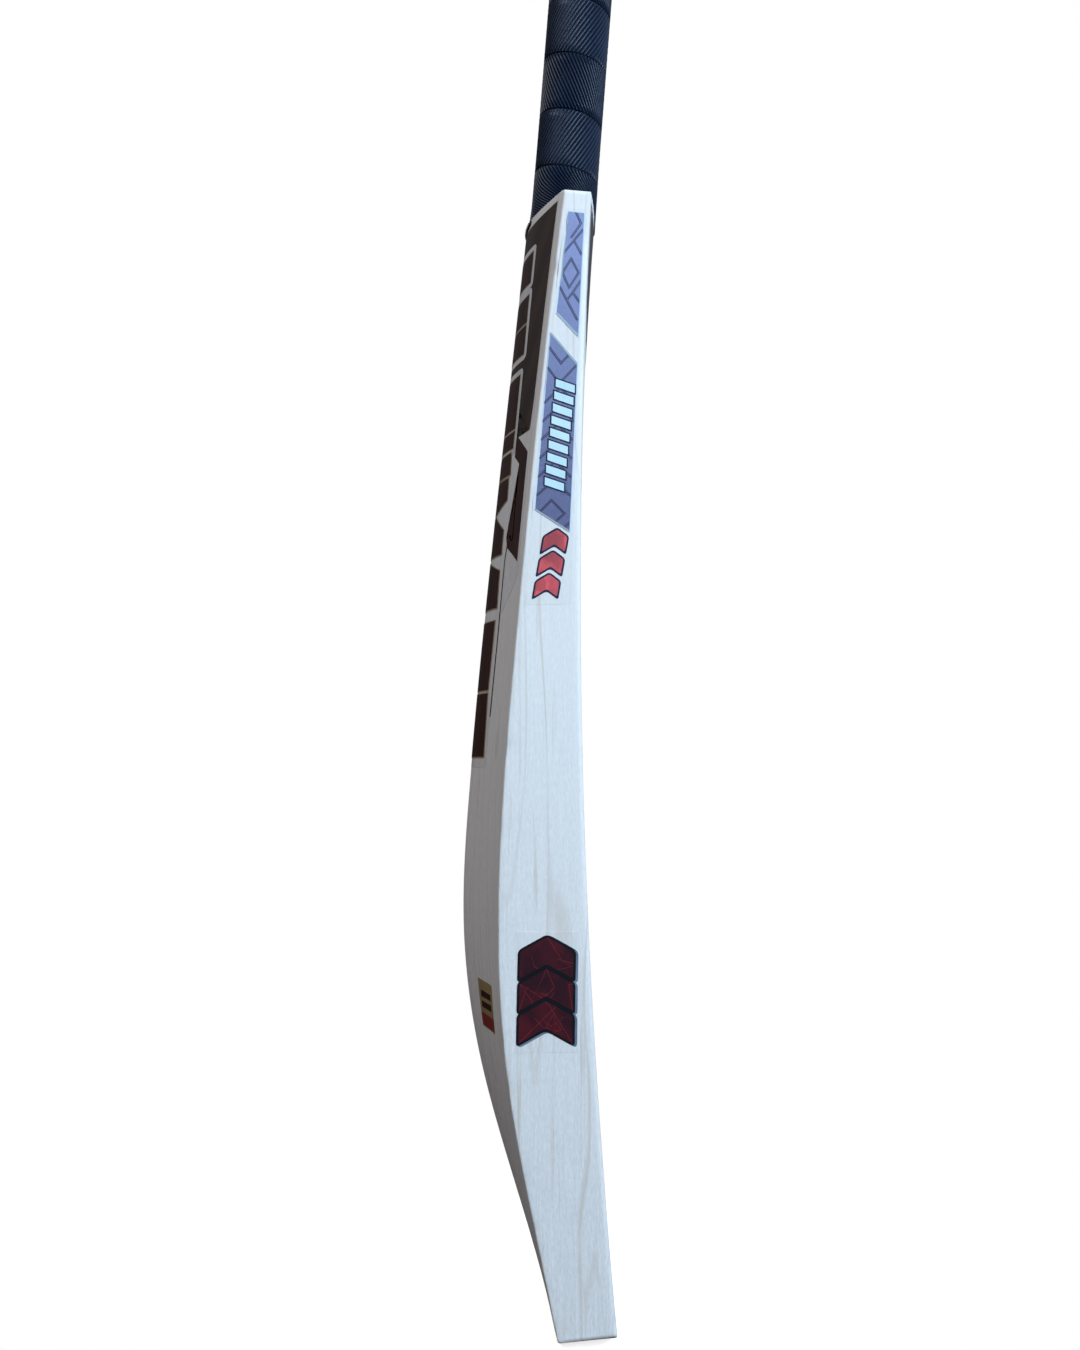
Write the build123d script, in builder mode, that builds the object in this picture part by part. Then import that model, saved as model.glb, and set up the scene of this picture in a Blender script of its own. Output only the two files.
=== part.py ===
"""A full-size cricket bat: willow blade, spliced twelve-piece cane handle, binding, grip, labels.

The origin is under the middle of the bat's overall box, level with the flat of the toe. +Z runs up
the blade to the handle, the playing face looks towards -Y, the spine towards +Y, and X runs across
the blade. Millimetres throughout.
"""

from math import cos, radians, sin
import os

from build123d import *

# Blade
BLADE_LENGTH = 560.0
HALF_WIDTH = 54.0
TOE_FACE_Y = -30.43         # where the face's corner starts, at the toe
SHOULDER_FACE_Y = -18.93    # and where it ends, at the shoulders
BOW = 10.8                  # how far the face bows back from its straight chord
FACE_ARRIS = 2.2
BACK_ARRIS = 1.2
TOE_FLAT_HALF = 30.0        # half width of the toe's flat
TOE_RISE = 5.5              # how far the toe climbs from its flat to the edges
TOE_CORNER_RADIUS = 2.0
SHOULDER_CORNER_RADIUS = 3.0

# Height on the blade, edge thickness, thickness at the spine, camber of the face and how
# full the back is between edge and spine (0 is a deep hollow, 1 a full round).
STATIONS = (
    (0.0, 28.0, 29.5, 0.8, 0.60),
    (50.0, 33.8, 40.5, 1.2, 0.35),
    (120.0, 42.2, 56.0, 1.5, 0.14),
    (190.0, 43.6, 62.0, 1.5, 0.10),
    (260.0, 39.0, 57.0, 1.5, 0.12),
    (340.0, 31.2, 48.8, 1.5, 0.20),
    (420.0, 24.2, 41.2, 1.8, 0.34),
    (500.0, 17.8, 35.0, 2.8, 0.48),
    (540.0, 14.7, 32.6, 3.6, 0.55),
    (568.0, 12.6, 31.2, 4.2, 0.60),
)

# Handle, measured along its own axis from the shoulders
HANDLE_LEAN = 4.45          # degrees towards the face
HANDLE_AXIS_Y = -6.13       # where the axis crosses the shoulders
HANDLE_LENGTH = 290.0
CANE_RADIUS = 14.4
CANE_BASE_RADIUS = 14.9     # slightly flared where it meets the shoulders
FLARE_LENGTH = 60.0
BUTT_RADIUS = 3.0
SPLICE_LENGTH = 135.0
SPLICE_TOP_HALF = 16.5
SPLICE_TIP_HALF = 1.5
STRIP_HALF_WIDTH = 5.0      # half width of the middle strip of each slab
INSERT_THICKNESS = 1.6
INSERT_PITCH = 8.1          # from one rubber insert to the next
INSERT_DEPTH = 45.0         # how far the inserts run down into the splice

# Binding and grip
BINDING_THICKNESS = 0.5
BINDING_END = 280.0
GRIP_WALL = 2.25
GRIP_END = 286.5
GRIP_RIM_RADIUS = 0.9
FIRST_BAND = 29.0           # height of the first groove round the grip
BAND_HEIGHT = 31.0
BAND_COUNT = 8
BAND_GROOVE_WIDTH = 1.0
BAND_GROOVE_DEPTH = 0.4

# Labels: thin printed films. Edge outlines are (distance from the face's corner, height).
FILM = 0.25
EDGE_LABELS = {
    "edge_label": (
        (12.0, 549.3), (2.4, 549.0), (2.4, 470.0), (3.4, 400.0), (4.6, 352.0),
        (27.2, 351.5), (23.8, 398.0), (18.0, 470.0),
    ),
    "edge_badge": ((34.5, 195.0), (4.5, 195.0), (7.5, 138.5), (37.5, 138.5)),
}
# Back and face outlines are (distance across from the middle, height).
BACK_LABEL = ((48.5, 556.5), (48.0, 440.0), (45.0, 368.0), (24.5, 350.0), (22.5, 273.0))
BACK_TAG = ((-19.0, 168.0), (-35.0, 166.5), (-34.5, 143.0), (-19.5, 144.5))
FACE_LABEL = ((49.5, 554.0), (48.0, 505.0), (38.0, 488.0), (0.0, 480.0))

LEAN = radians(HANDLE_LEAN)
HANDLE_ORIGIN = (0, HANDLE_AXIS_Y, BLADE_LENGTH)
HANDLE_UP = (0, -sin(LEAN), cos(LEAN))
HANDLE_FRONT = (0, -cos(LEAN), -sin(LEAN))
# Square to the handle at the shoulders: local X is across the bat, local Y towards the back.
SHOULDER_PLANE = Plane(origin=HANDLE_ORIGIN, x_dir=(1, 0, 0), z_dir=HANDLE_UP)
# Facing the front of the handle: local X is across the bat, local Y is up the handle.
FRONT_PLANE = Plane(origin=HANDLE_ORIGIN, x_dir=(1, 0, 0), z_dir=HANDLE_FRONT)
LABEL_DEPTH = 10.0          # a plane inside the blade, between the back's labels and the face's
THROUGH = 90.0              # more than the bat's depth either side of the middle
OVERRUN = 5.0               # how far cutting and joining shapes pass the ends they meet


def face_y(z):
    """Where the face's corner lies: a straight chord with a shallow bow."""
    t = z / BLADE_LENGTH
    chord = TOE_FACE_Y + (SHOULDER_FACE_Y - TOE_FACE_Y) * t
    return chord + 4 * BOW * t * (1 - t)


def mirrored(points):
    """A closed outline from its right half, listed from the top down."""
    return list(points) + [(-x, z) for x, z in reversed(points) if x > 0]


def write(part, name):
    """Labels a finished piece and writes it to its own file."""
    part.label = name
    export_step(part, f"parts/{name}.step")


def blade_section(z, edge, spine, camber, fullness, lift):
    """One cross-section of the blank, grown outwards by lift for the labels' upper side."""
    half = HALF_WIDTH + lift
    face = face_y(z) - lift
    edge_y = face_y(z) + edge + lift
    spine_y = face_y(z) + spine + lift
    flank = Vector(-0.45 * half, (spine_y - edge_y) * fullness)
    arris = Vector(half, edge_y) + flank.normalized() * BACK_ARRIS
    hip = Vector(half, edge_y) + flank
    crest = Vector(0.24 * half, spine_y)
    with BuildSketch(Plane.XY.offset(z)) as section:
        with BuildLine():
            Line((half, face + FACE_ARRIS), (half, edge_y - BACK_ARRIS))
            Bezier((half, edge_y - BACK_ARRIS), (half, edge_y), arris)
            Bezier(arris, hip, crest, (0, spine_y))
            Bezier((0, spine_y), (-crest.X, crest.Y), (-hip.X, hip.Y), (-arris.X, arris.Y))
            Bezier((-arris.X, arris.Y), (-half, edge_y), (-half, edge_y - BACK_ARRIS))
            Line((-half, edge_y - BACK_ARRIS), (-half, face + FACE_ARRIS))
            Bezier((-half, face + FACE_ARRIS), (-half, face), (FACE_ARRIS - half, face))
            ThreePointArc((FACE_ARRIS - half, face), (0, face - camber), (half - FACE_ARRIS, face))
            Bezier((half - FACE_ARRIS, face), (half, face), (half, face + FACE_ARRIS))
        make_face()
    return section.sketch.face()


def blank(lift):
    """The lofted blade, before its ends are shaped."""
    with BuildPart() as body:
        loft([blade_section(*station, lift) for station in STATIONS])
    return body.part


def sleeve(inner, outer, end):
    """A tube round the handle from the shoulders up, following the handle's flare."""
    base = CANE_BASE_RADIUS
    shaft = CANE_RADIUS
    mid = FLARE_LENGTH / 2
    with BuildPart() as tube:
        with BuildSketch(FRONT_PLANE):
            with BuildLine():
                Line((base + inner, 0), (base + outer, 0))
                Bezier((base + outer, 0), (shaft + outer, mid), (shaft + outer, FLARE_LENGTH))
                Line((shaft + outer, FLARE_LENGTH), (shaft + outer, end))
                Line((shaft + outer, end), (shaft + inner, end))
                Line((shaft + inner, end), (shaft + inner, FLARE_LENGTH))
                Bezier((shaft + inner, FLARE_LENGTH), (shaft + inner, mid), (base + inner, 0))
            make_face()
        revolve(axis=Axis(HANDLE_ORIGIN, HANDLE_UP))
    return tube.part


def edge_label(outline, side):
    """A film on the flat of one edge; side is -1 or 1."""
    with BuildPart() as film:
        with BuildSketch(Plane.YZ.offset(side * HALF_WIDTH)):
            with BuildLine():
                Polyline([(face_y(z) + d, z) for d, z in outline], close=True)
            make_face()
        extrude(amount=side * FILM)
    return film.part


def skin_label(outline, side):
    """A film lying on the back (side 1) or the face (side -1) of the blade."""
    with BuildPart() as film:
        with BuildSketch(Plane.XZ.offset(LABEL_DEPTH)):
            with BuildLine():
                Polyline(outline, close=True)
            make_face()
        extrude(amount=-side * THROUGH)
        add(lifted_blank, mode=Mode.INTERSECT)
        add(blade_blank, mode=Mode.SUBTRACT)
    return film.part


os.makedirs("parts", exist_ok=True)

blade_blank = blank(0.0)
lifted_blank = blank(FILM)

# The ends: a toe that climbs a little to its rounded corners, and shoulders cut square to the handle.
with BuildPart() as whole_blade:
    with BuildSketch(Plane.XZ):
        with BuildLine():
            top = BLADE_LENGTH + OVERRUN
            Line((-TOE_FLAT_HALF, 0), (TOE_FLAT_HALF, 0))
            TangentArc((TOE_FLAT_HALF, 0), (HALF_WIDTH, TOE_RISE), tangent=(1, 0))
            Line((HALF_WIDTH, TOE_RISE), (HALF_WIDTH, top))
            Line((HALF_WIDTH, top), (-HALF_WIDTH, top))
            Line((-HALF_WIDTH, top), (-HALF_WIDTH, TOE_RISE))
            TangentArc((-TOE_FLAT_HALF, 0), (-HALF_WIDTH, TOE_RISE), tangent=(-1, 0))
        toe = make_face()
        fillet(toe.vertices().filter_by(lambda v: abs(v.Z - TOE_RISE) < 0.01), TOE_CORNER_RADIUS)
    extrude(amount=THROUGH, both=True)
    with BuildSketch(FRONT_PLANE):
        with Locations((0, -BLADE_LENGTH)):
            shoulders = Rectangle(2 * HALF_WIDTH, 2 * BLADE_LENGTH)
        fillet(shoulders.vertices().group_by(Axis.Y)[-1], SHOULDER_CORNER_RADIUS)
    extrude(amount=2 * THROUGH, both=True, mode=Mode.INTERSECT)
    add(blade_blank, mode=Mode.INTERSECT)

with BuildPart() as splice:
    with BuildSketch(FRONT_PLANE):
        with BuildLine():
            Polyline(
                (-SPLICE_TOP_HALF, 0),
                (SPLICE_TOP_HALF, 0),
                (SPLICE_TIP_HALF, -SPLICE_LENGTH),
                (-SPLICE_TIP_HALF, -SPLICE_LENGTH),
                close=True,
            )
        make_face()
    extrude(amount=THROUGH, both=True)
    add(whole_blade.part, mode=Mode.INTERSECT)

with BuildPart() as blade:
    add(whole_blade.part)
    add(splice.part, mode=Mode.SUBTRACT)

write(blade.part, "blade")

# The handle as one block: a turned shaft standing on the splice's wedge.
with BuildPart() as handle_block:
    with BuildSketch(FRONT_PLANE):
        with BuildLine():
            straight = HANDLE_LENGTH - BUTT_RADIUS
            Line((0, 0), (CANE_BASE_RADIUS, 0))
            Bezier(
                (CANE_BASE_RADIUS, 0),
                (CANE_RADIUS, FLARE_LENGTH / 2),
                (CANE_RADIUS, FLARE_LENGTH),
            )
            Line((CANE_RADIUS, FLARE_LENGTH), (CANE_RADIUS, straight))
            TangentArc((CANE_RADIUS, straight), (CANE_RADIUS - BUTT_RADIUS, HANDLE_LENGTH), tangent=(0, 1))
            Line((CANE_RADIUS - BUTT_RADIUS, HANDLE_LENGTH), (0, HANDLE_LENGTH))
            Line((0, HANDLE_LENGTH), (0, 0))
        make_face()
    revolve(axis=Axis(HANDLE_ORIGIN, HANDLE_UP))
    add(splice.part)

# Three rubber inserts, lying parallel to the face.
insert_height = HANDLE_LENGTH + INSERT_DEPTH
insert_centre = (HANDLE_LENGTH - INSERT_DEPTH) / 2
inserts = []
for row in (-1, 0, 1):
    with BuildPart() as insert:
        with BuildSketch(SHOULDER_PLANE.offset(-INSERT_DEPTH)):
            with Locations((0, row * INSERT_PITCH)):
                Rectangle(2 * THROUGH, INSERT_THICKNESS)
        extrude(amount=insert_height)
        add(handle_block.part, mode=Mode.INTERSECT)
    inserts.append(insert.part)
    write(insert.part, f"handle_insert_{row + 2}")

# Four slabs between them, each glued up from three strips.
slab_edges = (-THROUGH, -INSERT_PITCH, 0.0, INSERT_PITCH, THROUGH)
strip_edges = (-THROUGH, -STRIP_HALF_WIDTH, STRIP_HALF_WIDTH, THROUGH)
strip_names = ("left", "middle", "right")
for slab in range(4):
    near, far = slab_edges[slab], slab_edges[slab + 1]
    for column in range(3):
        left, right = strip_edges[column], strip_edges[column + 1]
        with BuildPart() as strip:
            with BuildSketch(SHOULDER_PLANE.offset(-SPLICE_LENGTH - OVERRUN)):
                with Locations(((left + right) / 2, (near + far) / 2)):
                    Rectangle(right - left, far - near)
            extrude(amount=SPLICE_LENGTH + HANDLE_LENGTH + 2 * OVERRUN)
            add(handle_block.part, mode=Mode.INTERSECT)
            add(inserts, mode=Mode.SUBTRACT)
        write(strip.part, f"handle_slab_{slab + 1}_{strip_names[column]}")

write(sleeve(0.0, BINDING_THICKNESS, BINDING_END), "handle_binding")

grip_radius = CANE_RADIUS + BINDING_THICKNESS + GRIP_WALL
with BuildPart() as grip:
    add(sleeve(BINDING_THICKNESS, BINDING_THICKNESS + GRIP_WALL, GRIP_END))
    top_rims = grip.edges().filter_by(GeomType.CIRCLE).group_by(Axis.Z)[-1]
    fillet(top_rims, GRIP_RIM_RADIUS)
    for band in range(BAND_COUNT):
        height = FIRST_BAND + band * BAND_HEIGHT
        with BuildSketch(SHOULDER_PLANE.offset(height - BAND_GROOVE_WIDTH / 2)):
            Circle(grip_radius + OVERRUN)
            Circle(grip_radius - BAND_GROOVE_DEPTH, mode=Mode.SUBTRACT)
        extrude(amount=BAND_GROOVE_WIDTH, mode=Mode.SUBTRACT)

write(grip.part, "grip")

for name, outline in EDGE_LABELS.items():
    write(edge_label(outline, -1), f"{name}_left")
    write(edge_label(outline, 1), f"{name}_right")

write(skin_label(mirrored(BACK_LABEL), 1), "back_label")
write(skin_label(BACK_TAG, 1), "back_tag")
write(skin_label(mirrored(FACE_LABEL), -1), "face_label")
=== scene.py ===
"""Looks for the cricket bat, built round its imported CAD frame.

Everything is in the CAD's own frame: +Z runs up the blade, the playing face looks to -Y, the spine
to +Y, and X runs across the blade. Shapes are worked out in millimetres and placed in metres.
"""

from math import cos, floor, hypot, pi, radians, sin, sqrt, tan
import random

import bmesh
import bpy
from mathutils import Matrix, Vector, noise


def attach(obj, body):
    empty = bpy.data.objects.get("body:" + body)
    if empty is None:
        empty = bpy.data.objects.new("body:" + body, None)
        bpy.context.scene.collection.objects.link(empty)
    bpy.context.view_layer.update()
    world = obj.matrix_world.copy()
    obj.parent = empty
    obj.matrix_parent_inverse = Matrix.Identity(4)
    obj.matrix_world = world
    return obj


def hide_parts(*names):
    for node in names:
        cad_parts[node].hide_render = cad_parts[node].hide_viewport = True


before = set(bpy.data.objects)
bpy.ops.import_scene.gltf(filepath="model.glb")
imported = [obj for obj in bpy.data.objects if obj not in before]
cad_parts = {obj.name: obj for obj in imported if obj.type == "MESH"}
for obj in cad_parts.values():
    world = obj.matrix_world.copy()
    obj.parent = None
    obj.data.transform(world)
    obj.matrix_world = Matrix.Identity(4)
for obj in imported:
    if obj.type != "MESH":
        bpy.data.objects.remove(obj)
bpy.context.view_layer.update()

MM = 0.001

# ---- The blade's shape, as the CAD has it (mm) ----
BLADE_LENGTH = 560.0
HALF_WIDTH = 54.0
TOE_FACE_Y = -30.43
SHOULDER_FACE_Y = -18.93
BOW = 10.8
FACE_ARRIS = 2.2
BACK_ARRIS = 1.2
TOE_FLAT_HALF = 30.0
TOE_RISE = 5.5
TOE_CORNER_RADIUS = 2.0
SHOULDER_CORNER_RADIUS = 3.0
STATIONS = (                # height; edge and spine behind the face; camber; fullness of the back
    (0.0, 28.0, 29.5, 0.8, 0.60),
    (50.0, 33.8, 40.5, 1.2, 0.35),
    (120.0, 42.2, 56.0, 1.5, 0.14),
    (190.0, 43.6, 62.0, 1.5, 0.10),
    (260.0, 39.0, 57.0, 1.5, 0.12),
    (340.0, 31.2, 48.8, 1.5, 0.20),
    (420.0, 24.2, 41.2, 1.8, 0.34),
    (500.0, 17.8, 35.0, 2.8, 0.48),
    (540.0, 14.7, 32.6, 3.6, 0.55),
    (568.0, 12.6, 31.2, 4.2, 0.60),
)
HANDLE_LEAN = radians(4.45)
HANDLE_AXIS_Y = -6.13
SPLICE_LENGTH = 135.0
SPLICE_TOP_HALF = 16.5
SPLICE_TIP_HALF = 1.5
FILM = 0.08                 # the printed films are thinner than their CAD solids

# Finishing touches to the blade's ends (mm)
TOE_TILT = 0.10             # the toe's corners are cut square to the bowed face, not to the floor
TOE_RIM = 1.2
SHOULDER_RIM = 0.7

# Grip, measured up the handle's axis from the shoulders (mm)
GRIP_RADIUS = 17.15
GRIP_INNER = 14.9
GRIP_FLARE = 0.5
FLARE_LENGTH = 60.0
GRIP_END = 286.5
FIRST_BAND = 29.0
BAND_HEIGHT = 31.0
BAND_COUNT = 9
COLLAR_START = 279.0
COLLAR_ROUND = 1.1
RIB_COUNT = 52
RIB_DEPTH = 1.0
RIB_SLOPE = 0.56            # sideways run of a rib for each millimetre up
RIB_SAMPLES = 10
RING_TILT = 0.14            # the bands sit lower on the face side
FOOT_SWIRL = 24.0           # how far round the ribs run as they flatten out at the foot
FOOT_FLARE = 1.6            # the foot stretches out and down over the back of the shoulders
FOOT_DROP = 4.6
FLARE_RISE = 16.0           # the stretch outwards ends this far up
FOOT_LIP = 1.3              # how far it stands off the blade's back
LIP_RISE = 8.0
LIP_START, LIP_FULL = 0.4, 0.7      # sines of the angles between which it climbs on to the back
LIP_RIB = 0.8               # how much of the ribs' depth stays on it
LIP_SLOPE = 0.9             # and how fast it falls back to the tube above the shoulders

HANDLE_ORIGIN = Vector((0.0, HANDLE_AXIS_Y, BLADE_LENGTH))
HANDLE_UP = Vector((0.0, -sin(HANDLE_LEAN), cos(HANDLE_LEAN)))
HANDLE_BACK = Vector((0.0, cos(HANDLE_LEAN), sin(HANDLE_LEAN)))


def natural_spline(xs, ys):
    """A smooth curve through the points, as a function of x."""
    n = len(xs)
    upper = [0.0] * n
    slope = [0.0] * n
    for i in range(1, n - 1):
        left = xs[i] - xs[i - 1]
        right = xs[i + 1] - xs[i]
        bend = 6 * ((ys[i + 1] - ys[i]) / right - (ys[i] - ys[i - 1]) / left)
        pivot = 2 * (left + right) - left * upper[i - 1]
        upper[i] = right / pivot
        slope[i] = (bend - left * slope[i - 1]) / pivot
    second = [0.0] * n
    for i in range(n - 2, 0, -1):
        second[i] = slope[i] - upper[i] * second[i + 1]

    def value(x):
        i = 0
        while i < n - 2 and x > xs[i + 1]:
            i += 1
        width = xs[i + 1] - xs[i]
        a = (xs[i + 1] - x) / width
        b = 1 - a
        cubic = ((a**3 - a) * second[i] + (b**3 - b) * second[i + 1]) * width * width / 6
        return a * ys[i] + b * ys[i + 1] + cubic

    return value


def face_corner(z):
    """Where the face's corner lies: a straight chord with a shallow bow."""
    t = z / BLADE_LENGTH
    return TOE_FACE_Y + (SHOULDER_FACE_Y - TOE_FACE_Y) * t + 4 * BOW * t * (1 - t)


heights = [s[0] for s in STATIONS]
edge_y = natural_spline(heights, [face_corner(s[0]) + s[1] for s in STATIONS])
spine_y = natural_spline(heights, [face_corner(s[0]) + s[2] for s in STATIONS])
hip_y = natural_spline(
    heights,
    [face_corner(z) + edge + (spine - edge) * full for z, edge, spine, _, full in STATIONS],
)
camber_of = natural_spline(heights, [s[3] for s in STATIONS])


def bezier(points, t):
    """A point on a Bezier curve, by repeated halving of its control polygon."""
    points = list(points)
    while len(points) > 1:
        points = [
            (a[0] + (b[0] - a[0]) * t, a[1] + (b[1] - a[1]) * t)
            for a, b in zip(points, points[1:])
        ]
    return points[0]


def back_curve(z):
    """Control points of the back, from its arris to the spine, on the +X side."""
    edge = edge_y(z)
    dx = -0.45 * HALF_WIDTH
    dy = hip_y(z) - edge
    length = hypot(dx, dy)
    arris = (HALF_WIDTH + dx / length * BACK_ARRIS, edge + dy / length * BACK_ARRIS)
    spine = spine_y(z)
    return arris, (0.55 * HALF_WIDTH, hip_y(z)), (0.24 * HALF_WIDTH, spine), (0.0, spine)


def back_height(x, z):
    """The back's Y at a place across and up the blade."""
    curve = back_curve(z)
    low, high = 0.0, 1.0
    for _ in range(22):
        mid = (low + high) / 2
        if bezier(curve, mid)[0] > abs(x):
            low = mid
        else:
            high = mid
    return bezier(curve, low)[1]


def face_height(x, z):
    """The face's Y at a place across and up the blade."""
    across = min(1.0, abs(x) / (HALF_WIDTH - FACE_ARRIS))
    return face_corner(z) - camber_of(z) * max(0.0, 1 - across * across)


def toe_height(x):
    """The toe's outline: flat in the middle, climbing to rounded corners."""
    x = abs(x)
    run = HALF_WIDTH - TOE_FLAT_HALF
    big = (run * run + TOE_RISE * TOE_RISE) / (2 * TOE_RISE)
    centre = HALF_WIDTH - TOE_CORNER_RADIUS
    reach = big - TOE_CORNER_RADIUS
    corner_z = big - sqrt(reach * reach - (centre - TOE_FLAT_HALF) ** 2)
    tangent = centre + TOE_CORNER_RADIUS * (centre - TOE_FLAT_HALF) / reach
    if x <= TOE_FLAT_HALF:
        return 0.0
    if x <= tangent:
        return big - sqrt(big * big - (x - TOE_FLAT_HALF) ** 2)
    return corner_z - sqrt(max(0.0, TOE_CORNER_RADIUS**2 - (x - centre) ** 2))


def toe_point_height(x, y):
    """The toe's height at a place: its corners also climb towards the face."""
    reach = max(0.0, abs(x) - TOE_FLAT_HALF) / (HALF_WIDTH - TOE_FLAT_HALF)
    return toe_height(x) + TOE_TILT * max(0.0, edge_y(0.0) - y) * reach


def shoulder_height(x, y):
    """The shoulders: square to the handle, with rounded corners."""
    over = max(0.0, abs(x) - HALF_WIDTH + SHOULDER_CORNER_RADIUS)
    rounding = SHOULDER_CORNER_RADIUS - sqrt(max(0.0, SHOULDER_CORNER_RADIUS**2 - over * over))
    return BLADE_LENGTH + (y - HANDLE_AXIS_Y) * tan(HANDLE_LEAN) - rounding


# ---- Meshes ----
def new_object(name, data):
    """An object in the scene for a mesh, a lamp or a camera."""
    thing = bpy.data.objects.new(name, data)
    bpy.context.scene.collection.objects.link(thing)
    return thing


def finish_mesh(name, bm, material, replaces=(), sharp=radians(40)):
    """Turns a bmesh in millimetres into a piece that rides on the bat."""
    for vert in bm.verts:
        vert.co *= MM
    bmesh.ops.recalc_face_normals(bm, faces=bm.faces)
    for face in bm.faces:
        face.smooth = True
    for edge in bm.edges:
        if len(edge.link_faces) == 2 and edge.calc_face_angle(0.0) > sharp:
            edge.smooth = False
    mesh = bpy.data.meshes.new(name)
    bm.to_mesh(mesh)
    bm.free()
    mesh.materials.append(material)
    piece = new_object(name, mesh)
    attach(piece, "root")
    if replaces:
        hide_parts(*replaces)
    return piece


def skin(bm, rings):
    """Faces between one ring of vertices and the next."""
    count = len(rings[0])
    for lower, upper in zip(rings, rings[1:]):
        for i in range(count):
            j = (i + 1) % count
            bm.faces.new((lower[i], lower[j], upper[j], upper[i]))


CAP_COLUMNS = 38            # from the middle of the face to its edge
EDGE_ROWS = 16              # across an edge
ARRIS_STEPS = 4
BLADE_RINGS = 284           # from the toe to the shoulders
RIM_STEPS = (0.0, 0.08, 0.30, 0.62, 1.0)


def half_profile(z):
    """The section's +X half, from the middle of the face round to the spine."""
    face = face_corner(z)
    flat = HALF_WIDTH - FACE_ARRIS
    steps = CAP_COLUMNS - ARRIS_STEPS
    points = [(flat * i / steps, face_height(flat * i / steps, z)) for i in range(steps)]
    bottom = face + FACE_ARRIS
    corner = ((flat, face), (HALF_WIDTH, face), (HALF_WIDTH, bottom))
    points += [bezier(corner, i / ARRIS_STEPS) for i in range(ARRIS_STEPS + 1)]
    top = edge_y(z) - BACK_ARRIS
    points += [(HALF_WIDTH, bottom + (top - bottom) * i / EDGE_ROWS) for i in range(1, EDGE_ROWS)]
    curve = back_curve(z)
    corner = ((HALF_WIDTH, top), (HALF_WIDTH, edge_y(z)), curve[0])
    points += [bezier(corner, i / ARRIS_STEPS) for i in range(ARRIS_STEPS)]
    points += [bezier(curve, (i / steps) ** 0.9) for i in range(steps + 1)]
    return points


def inward(points):
    """Unit normals of an open outline, pointing to its left."""
    normals = []
    for i in range(len(points)):
        a = points[max(0, i - 1)]
        b = points[min(len(points) - 1, i + 1)]
        dx, dy = b[0] - a[0], b[1] - a[1]
        length = hypot(dx, dy)
        normals.append((-dy / length, dx / length))
    return normals


def blade_mesh(material):
    """The willow blade: rounded rims and small dents; the V for the handle is cut afterwards, by
    cut_splice.
    """
    first, last = TOE_RIM / BLADE_LENGTH, 1 - SHOULDER_RIM / BLADE_LENGTH
    share = [first * r for r in RIM_STEPS]
    share += [first + (last - first) * i / BLADE_RINGS for i in range(1, BLADE_RINGS)]
    share += [1 - (1 - last) * r for r in reversed(RIM_STEPS)]
    dents = blade_dents()
    bm = bmesh.new()
    grid = []
    for k, s in enumerate(share):
        ring = []
        for point in half_profile(s * BLADE_LENGTH):
            low, high = toe_point_height(*point), shoulder_height(*point)
            ring.append(low + (high - low) * s)
        # The section again, now at each point's own height.
        points = [half_profile_point(i, z) for i, z in enumerate(ring)]
        normals = inward(points)
        gap = min(k, len(share) - 1 - k)
        inset = 0.0
        if gap < len(RIM_STEPS):
            rim = TOE_RIM if k == gap else SHOULDER_RIM
            inset = rim - sqrt(rim * rim - (rim * (1 - RIM_STEPS[gap])) ** 2)
        half = []
        for (x, y), n, z in zip(points, normals, ring):
            if inset:
                front = face_height(x, z)
                back = back_height(x, z) if x < HALF_WIDTH - BACK_ARRIS else edge_y(z)
                y -= inset * (2 * (y - front) / (back - front) - 1)
            half.append((x, y, z, n))
        half[0] = (0.0, half[0][1], half[0][2], (0.0, 1.0))
        half[-1] = (0.0, half[-1][1], half[-1][2], (0.0, -1.0))
        full = half + [(-x, y, z, (-n[0], n[1])) for x, y, z, n in reversed(half[1:-1])]
        verts = []
        for x, y, z, n in full:
            push = dent_depth(dents, x, y, z)
            verts.append(bm.verts.new((x + n[0] * push, y + n[1] * push, z)))
        grid.append(verts)
    skin(bm, grid)
    for ring in (grid[0], grid[-1]):
        cap(bm, ring)
    return finish_mesh("blade_willow", bm, material, ("blade",))


profile_cache = {}


def half_profile_point(i, z):
    """Point i of the section at a height, kept to the nearest tenth of a millimetre."""
    key = round(z * 10)
    if key not in profile_cache:
        profile_cache[key] = half_profile(key / 10)
    return profile_cache[key][i]


def cap(bm, ring):
    """Closes an end with a grid that runs across from face to back."""
    half = len(ring) // 2
    last = CAP_COLUMNS

    def on_ring(column, row):
        if row == 0:
            index = abs(column)
        elif row == EDGE_ROWS:
            index = half - abs(column)
        else:
            index = last + row
        return ring[index] if column >= 0 else ring[-index]

    rows = {}
    for column in range(-last, last + 1):
        for row in range(EDGE_ROWS + 1):
            if row in (0, EDGE_ROWS) or abs(column) == last:
                rows[column, row] = on_ring(column, row)
                continue
            a = on_ring(column, 0).co
            b = on_ring(column, EDGE_ROWS).co
            rows[column, row] = bm.verts.new(a.lerp(b, row / EDGE_ROWS))
    for column in range(-last, last):
        for row in range(EDGE_ROWS):
            corners = ((0, 0), (1, 0), (1, 1), (0, 1))
            bm.faces.new([rows[column + i, row + j] for i, j in corners])


DENT_REACH = 12.0
DENT_FADE = 2.718           # a dent is this many times shallower one radius out


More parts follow.
